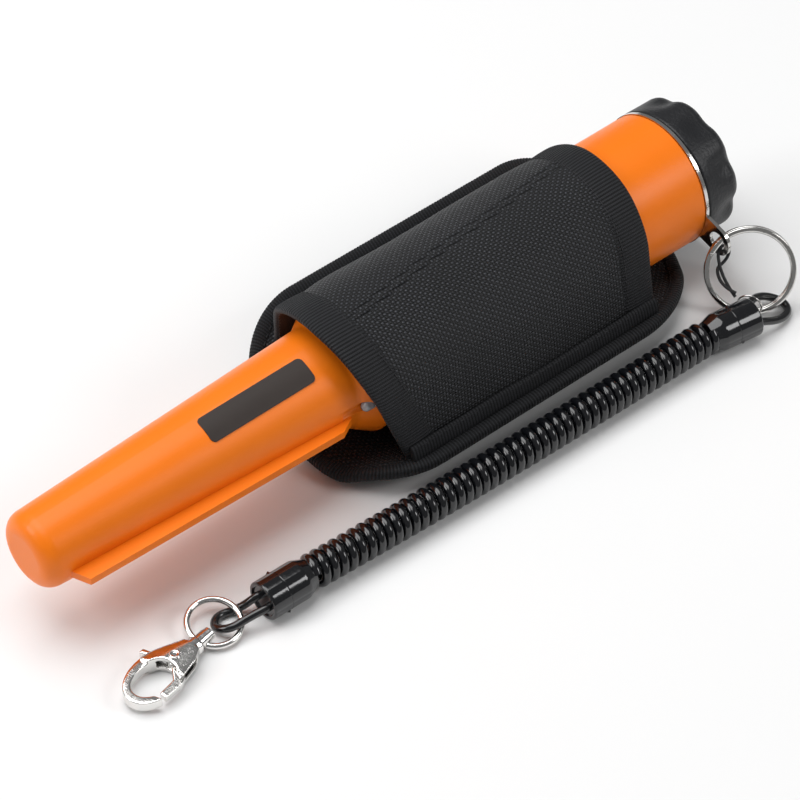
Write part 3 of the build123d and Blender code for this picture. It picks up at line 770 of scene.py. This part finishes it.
def pad_outline(count):
    """The pad's rounded-rectangle edge: points spaced evenly, inward directions, distances."""
    arc = np.linspace(0, math.pi / 2, 60)
    pieces = []
    for quarter, (i, j, radius) in enumerate([(1, 1, 24), (0, 1, 30), (0, 0, 24), (1, 0, 33)]):
        heart = np.array([PAD_X[i] + radius * (1 - 2 * i), PAD_Y[j] + radius * (1 - 2 * j)])
        spin = arc + quarter * math.pi / 2
        pieces.append(heart + radius * np.stack([np.cos(spin), np.sin(spin)], -1))
    edge = np.vstack(pieces + [pieces[0][:1]])
    reach = np.concatenate([[0], np.cumsum(np.linalg.norm(np.diff(edge, axis=0), axis=1))])
    s = np.linspace(0, reach[-1], count, endpoint=False)
    points = np.stack([np.interp(s, reach, edge[:, k]) for k in range(2)], -1)
    ahead = unit(np.roll(points, -1, 0) - np.roll(points, 1, 0))
    inward = np.stack([-ahead[:, 1], ahead[:, 0]], -1)
    return points, inward, s, reach[-1]


def arch(count, grow=0.0, start=0.0, stop=1.0):
    """The sleeve's outline across the probe, sampled evenly from one skirt to the other.

    Each skirt leaves the pad straight and meets the round over the handle on a tangent.
    Returns (y, z) points, outward directions, and the distance along.
    """
    radius = SLEEVE_OUT + grow
    feet = [np.array([-24.6 - grow, 8.3]), np.array([29.4 + grow, 10.0])]
    heart = np.array([0, AXIS_Z])
    angles = []
    for foot, sign in zip(feet, (-1, 1)):
        gap = foot - heart
        away = math.acos(radius / np.linalg.norm(gap))
        angles.append(math.atan2(gap[1], gap[0]) % TAU if sign < 0 else math.atan2(gap[1], gap[0]))
        angles[-1] += sign * away
    turn = np.linspace(angles[0], angles[1], 400)
    round_part = heart + radius * np.stack([np.cos(turn), np.sin(turn)], -1)
    line = np.vstack([np.linspace(feet[0], round_part[0], 60)[:-1], round_part,
                      np.linspace(round_part[-1], feet[1], 60)[1:]])
    reach = np.concatenate([[0], np.cumsum(np.linalg.norm(np.diff(line, axis=0), axis=1))])
    s = np.linspace(start * reach[-1], stop * reach[-1], count)
    points = np.stack([np.interp(s, reach, line[:, k]) for k in range(2)], -1)
    ahead = unit(np.gradient(points, axis=0))
    return points, np.stack([-ahead[:, 1], ahead[:, 0]], -1), s


def mouth_x(z):
    """The front mouth slants: it starts further forward higher up."""
    return 98.5 - 0.33 * (z - AXIS_Z)


def crease(x):
    """Where the sewn crease lies, along the sleeve's outline: it runs a little askew."""
    return 46.0 + 0.12 * (x - 105)


def cloth_waves(x, s):
    """Slow pulls and folds of the sleeve's cloth, in millimetres outwards.

    Sums of a few waves, and a soft ridge between the two grooves of the sewn crease.
    """
    pulls = (0.22 * np.sin(x / 11 + s / 17) + 0.16 * np.sin(x / 7.3 - s / 9.1 + 1.2)
             + 0.12 * np.sin(s / 4.7 + x / 31))
    off = s - crease(x)
    grooves = (-0.5 * np.exp(-((off - CREASE_HALF) / 0.5) ** 2)
               - 0.5 * np.exp(-((off + CREASE_HALF) / 0.5) ** 2))
    return pulls + 0.28 * np.exp(-(off / 3.2) ** 2) + grooves


# ---------------------------------------------------------------- holster: sleeve
def sleeve_cloth():
    """The padded sleeve: its outline over the handle, carried from one mouth to the other.

    Outer and inner cloth are one closed skin; the outer swells between the mouths' edgings.
    """
    rows = 400
    mid, out, s = arch(rows)
    share = np.concatenate([np.linspace(0, 1, 100), np.linspace(1, 0, 100)])
    outer = np.arange(200) < 100
    z = mid[:, 1][:, None]
    x0 = mouth_x(z)
    x = x0 + (REAR_MOUTH - x0) * share
    room = np.minimum(x - x0 - EDGE_W + 1.5, REAR_MOUTH - EDGE_W + 1.5 - x)
    swell = np.clip(room / 9, -0.2, 1)
    swell = np.sign(swell) * np.abs(swell) ** 0.6
    foot = np.clip(np.minimum(s, s[-1] - s) / 7, 0, 1)[:, None]
    lift = np.where(outer, 0.55 * swell * foot + cloth_waves(x, s[:, None]) * foot
                    * np.clip(swell + 0.3, 0, 1), -SLEEVE_T + 0.05)
    yz = mid[:, None] + out[:, None] * lift[..., None]
    grid = np.concatenate([x[..., None], yz], -1)
    uv = np.stack([x, np.broadcast_to(s[:, None], x.shape)], -1)
    uv = np.concatenate([uv, uv[:, :1]], 1)
    x_row = np.arange(107.5, 181, 2.5)
    for k, side in enumerate((-CREASE_HALF, CREASE_HALF)):
        row = crease(x_row) + side
        seat = [np.interp(row, s, c) for c in (mid[:, 0], mid[:, 1], out[:, 0], out[:, 1])]
        height = 0.45 + cloth_waves(x_row, row)
        spots = np.stack([x_row, seat[0] + seat[2] * height, seat[1] + seat[3] * height], -1)
        normal = np.stack([0 * x_row, seat[2], seat[3]], -1)
        stitches(f"crease_stitches_{k}", spots, unit(np.gradient(spots, axis=0)), normal, "holster",
                 size=(1.8, 0.3, 0.26))
    return piece("sleeve_cloth", skin("sleeve_cloth", grid, uv, ends="zip", sharp=60), "holster",
                 "holster_fabric", ["holster_sleeve"])


def mouth_edging(name, node, front):
    """Ribbed tape folded over a mouth: a flat loop round the cloth's edge, with cross ribs.

    The section is a long rounded loop, out along the outside and back along the inside. Ribs
    raise every RIB millimetres of the tape's length.
    """
    mid, out, s = arch(4 * 115 + 1)
    turn = np.linspace(0, TAU, 36, endpoint=False)
    far, high = section(turn, 0.45, 0.7)
    depth = (EDGE_W + EDGE_OVER) / 2 * (1 - far)
    rib = np.abs(np.sin(math.pi * s / RIB))[:, None]
    tuck = 0.25 * np.sin(s / 6.0)[:, None] + 0.18 * np.sin(s / 2.9 + 1)[:, None]
    outer = 0.62 - 0.5 * (depth / (EDGE_W + EDGE_OVER)) ** 3 + 0.13 * rib + 0.24 * tuck
    inner = -SLEEVE_T - 0.12
    middle, half = (outer + inner) / 2, (outer - inner) / 2
    lift = middle + half * high
    z = mid[:, 1][:, None]
    if front:
        x = mouth_x(z) - EDGE_OVER + depth + 0.25 * tuck
    else:
        x = REAR_MOUTH + EDGE_OVER - depth + 0.25 * tuck
    yz = mid[:, None] + out[:, None] * lift[..., None]
    grid = np.concatenate([x[..., None], yz], -1)
    reach = np.concatenate([[0], np.cumsum(np.abs(np.diff(depth)) + 0.5 * np.abs(np.diff(high)))])
    uv = np.stack(np.broadcast_arrays(s[:, None], reach[None]), -1)
    uv = np.concatenate([uv, uv[:, :1]], 1)
    obj = piece(name, skin(name, grid, uv, ends="zip", sharp=70), "holster", "binding_tape", [node])
    seam, seam_out, along = arch(44, 0.35, 0.03, 0.97)
    seam_x = mouth_x(seam[:, 1]) + EDGE_W - 1.6 if front else np.full(44, REAR_MOUTH - EDGE_W + 1.6)
    spots = np.concatenate([seam_x[:, None], seam], -1)
    normal = np.concatenate([np.zeros((44, 1)), seam_out], -1)
    stitches(name + "_stitches", spots, unit(np.gradient(spots, axis=0)), normal, "holster")
    return obj


sleeve_cloth()
mouth_edging("front_edging", "front_mouth_binding", True)
mouth_edging("rear_edging", "rear_mouth_binding", False)


def seam_band():
    """Ribbed tape over the sleeve's lower seam: a low flat section carried along the probe."""
    x = np.linspace(*SEAM_X, 4 * 90 + 1)
    turn = np.linspace(0, TAU, 24, endpoint=False)
    wide, high = section(turn, 0.6, 0.9)
    low, top = np.array([-26.0, 8.7]), np.array([-24.4, 13.3])
    along, middle = unit(top - low), (top + low) / 2
    out = np.array([-along[1], along[0]])
    rib = np.abs(np.sin(math.pi * x / RIB))[:, None]
    sway = 0.16 * np.sin(x / 9)[:, None] + 0.1 * np.sin(x / 4.1)[:, None]
    across = SEAM_HALF * wide[None] + sway
    lift = 0.35 + (0.75 + 0.12 * rib) * high[None] + 0.1 * sway
    yz = middle + across[..., None] * along + lift[..., None] * out
    grid = np.concatenate([np.broadcast_to(x[:, None, None], (*across.shape, 1)), yz], -1)
    reach = np.concatenate([[0], np.cumsum(np.abs(np.diff(wide)) * SEAM_HALF)])
    uv = np.stack(np.broadcast_arrays(x[:, None], reach[None]), -1)
    uv = np.concatenate([uv, uv[:, :1]], 1)
    obj = piece("seam_band", skin("seam_band", grid, uv, ends="fan", sharp=70), "holster",
                "binding_tape", ["seam_tape"])
    spots = np.stack([np.linspace(108, 186, 32), np.full(32, 0.0), np.full(32, 0.0)], -1)
    spots[:, 1:] = middle + along * 1.5 + out * 0.98
    ahead = np.broadcast_to([1.0, 0, 0], spots.shape)
    normal = np.broadcast_to([0, *out], spots.shape)
    stitches("seam_band_stitches", spots, ahead, normal, "holster")
    return obj


seam_band()


# ---------------------------------------------------------------- holster: back pad
def pad_cloth():
    """The back pad: cloth skins over foam, from the middle out to the edging and back below."""
    points, inward, s, _ = pad_outline(260)
    insets = np.concatenate([np.linspace(3.6, 10, 12), np.linspace(11, 20, 6)])
    rings = [points + inward * i for i in insets]
    middle = np.array([(PAD_X[1] + PAD_X[0]) / 2, (PAD_Y[1] + PAD_Y[0]) / 2])
    rings += [middle + (rings[-1] - middle) * k for k in np.linspace(1, 0, 9)[1:]]
    xy = np.stack(rings, 1)
    fill = np.interp(np.concatenate([insets, np.full(8, 21.0)]), [3.6, 5.2, 9, 21],
                     [0.62, 0.80, 1.0, 1.0])
    top = PAD_MID + wing(xy[..., 1]) + PAD_T / 2 * fill
    low = PAD_MID + wing(xy[..., 1]) - PAD_T / 2 * np.minimum(fill, 1)
    upper = np.concatenate([xy, top[..., None]], -1)[:, ::-1]
    lower = np.concatenate([xy, low[..., None]], -1)
    grid = np.concatenate([upper, lower], 1)
    uv = grid[..., :2]
    uv = np.concatenate([uv, uv[:1]], 0)
    return piece("pad_cloth", skin("pad_cloth", grid, uv, wrap=(True, False), sharp=60), "holster",
                 "holster_fabric", ["holster_panel"])


def pad_edging():
    """Ribbed tape wrapped round the pad's edge: a rounded section carried round the outline."""
    _, _, _, total = pad_outline(8)
    ribs = round(total / RIB)
    points, inward, s, total = pad_outline(ribs * 4)
    turn = np.linspace(0, TAU, 26, endpoint=False)
    wide, high = section(turn, 0.75, 0.75)
    rib = np.abs(np.sin(math.pi * s * ribs / total))[:, None]
    sway = 0.14 * np.sin(s / 7.0)[:, None] + 0.10 * np.sin(s / 3.1)[:, None]
    inset = EDGING / 2 * (1 - wide)[None] + np.clip(-wide, 0, 1)[None] * sway
    inset = inset + 0.10 * (1 - rib) * np.clip(wide, 0, 1)[None]
    taper = 1 - 0.22 * np.clip(-wide, 0, 1)[None]
    height = (PAD_T / 2 + 0.14 + 0.09 * rib) * taper * high[None]
    xy = points[:, None] + inward[:, None] * inset[..., None]
    z = PAD_MID + wing(xy[..., 1]) + height
    grid = np.concatenate([xy, z[..., None]], -1)
    reach = np.concatenate([[0], np.cumsum(np.abs(np.diff(wide)) * EDGING / 2
                                           + np.abs(np.diff(high)) * PAD_T / 2)])
    s_round = np.append(s, total)
    uv = np.stack(np.broadcast_arrays(s_round[:, None], np.append(reach, reach[-1] + 1)[None]), -1)
    obj = piece("pad_edging", skin("pad_edging", grid, uv, wrap=(True, True), sharp=70), "holster",
                "binding_tape", ["panel_binding"])
    spots_xy, lean, _, _ = pad_outline(130)
    spots_xy = spots_xy + lean * 3.7
    ahead = unit(np.roll(spots_xy, -1, 0) - np.roll(spots_xy, 1, 0))
    for side, name in ((1, "pad_stitches_top"), (-1, "pad_stitches_under")):
        z = PAD_MID + wing(spots_xy[:, 1]) + side * (PAD_T / 2 - 0.05)
        spots = np.concatenate([spots_xy, z[:, None]], -1)
        flat = np.concatenate([ahead, np.zeros((len(ahead), 1))], -1)
        normal = np.broadcast_to([0, 0, 1.0 * side], spots.shape)
        stitches(name, spots, flat, normal, "holster")
    return obj


def belt_webbing():
    """The belt loop: a flat strip of webbing under the pad, sewn down at both ends."""
    x = np.linspace(*BELT_X, 151)
    turn = np.linspace(0, TAU, 28, endpoint=False)
    wide, high = section(turn, 0.35, 0.6)
    wide, high = wide * BELT_HALF, high * 0.74
    ends = np.clip(np.minimum(x - BELT_X[0], BELT_X[1] - x) / 8, 0, 1)[:, None]
    z = 0.78 + high[None] + 0.04 * np.sin(x / 0.6)[:, None] * (high > 0) * (1 - ends)
    y = np.broadcast_to(wide[None], z.shape)
    grid = np.stack([np.broadcast_to(x[:, None], z.shape), y, z], -1)
    uv = np.stack(np.broadcast_arrays(x[:, None], np.append(wide, wide[0])[None]), -1)
    obj = piece("belt_webbing", skin("belt_webbing", grid, uv, ends="fan", sharp=60), "holster",
                "webbing", ["belt_loop"])
    for k, x0 in enumerate((113.6, 180.6)):
        box = [(x0, -10.5), (x0 + 5, -10.5), (x0 + 5, 10.5), (x0, 10.5), (x0, -10.5),
               (x0 + 5, 10.5), (x0 + 5, -10.5), (x0, 10.5)]
        spots, ahead = [], []
        for a, b in zip(np.array(box[:-1]), np.array(box[1:])):
            count = max(2, int(np.linalg.norm(b - a) / 2.3))
            share = (np.arange(count) + 0.5)[:, None] / count
            spots.append(a + (b - a) * share)
            ahead.append(np.broadcast_to(unit(b - a), (count, 2)))
        spots, ahead = np.vstack(spots), np.vstack(ahead)
        spots = np.concatenate([spots, np.full((len(spots), 1), 0.1)], -1)
        ahead = np.concatenate([ahead, np.zeros((len(ahead), 1))], -1)
        normal = np.broadcast_to([0, 0, -1.0], spots.shape)
        stitches(f"belt_stitches_{k}", spots, ahead, normal, "holster", size=(1.9, 0.34, 0.18))
    return obj


pad_cloth()
pad_edging()
belt_webbing()


# ---------------------------------------------------------------- finishes on the CAD pieces
SLOTS = {part["node"]: part["material_slot"] for part in frame["record"]["subparts"]}
for node, obj in NODES.items():
    obj.data.materials.clear()
    obj.data.materials.append(FINISH[SLOTS[node]])


# ---------------------------------------------------------------- floor and light
def stage():
    """The pale floor that the probe lies on."""
    floor = bpy.data.meshes.new("floor")
    floor.from_pydata([(-4, -4, 0), (4, -4, 0), (4, 4, 0), (-4, 4, 0)], [], [(0, 1, 2, 3)])
    obj = bpy.data.objects.new("floor", floor)
    bpy.context.scene.collection.objects.link(obj)
    p = Paint("floor")
    tone = p.noise(6, 2.0)
    floor.materials.append(p.surface(p.mix(tone, (0.86, 0.86, 0.86), (0.88, 0.88, 0.88)), 0.9,
                                     Specular_IOR_Level=0.1))


def lamp(name, place, size, power, tint=(1, 1, 1)):
    """A square soft box of a given width, aimed at the middle of the probe."""
    light = bpy.data.lights.new(name, "AREA")
    light.size = size
    light.energy = power
    light.color = tint
    obj = bpy.data.objects.new(name, light)
    obj.location = place
    obj.rotation_euler = (TARGET - Vector(place)).to_track_quat("-Z", "Y").to_euler()
    bpy.context.scene.collection.objects.link(obj)


stage()
lamp("overhead", (-0.15, 0.35, 1.3), 1.15, 15.5)
lamp("left_box", (-0.95, 0.45, 0.7), 0.5, 4.6)
lamp("right_box", (0.6, -0.85, 0.8), 0.45, 4.2)
world = bpy.data.worlds.new("studio")
world.use_nodes = True
world.node_tree.nodes["Background"].inputs["Color"].default_value = (1, 1, 1, 1)
world.node_tree.nodes["Background"].inputs["Strength"].default_value = 0.2
bpy.context.scene.world = world
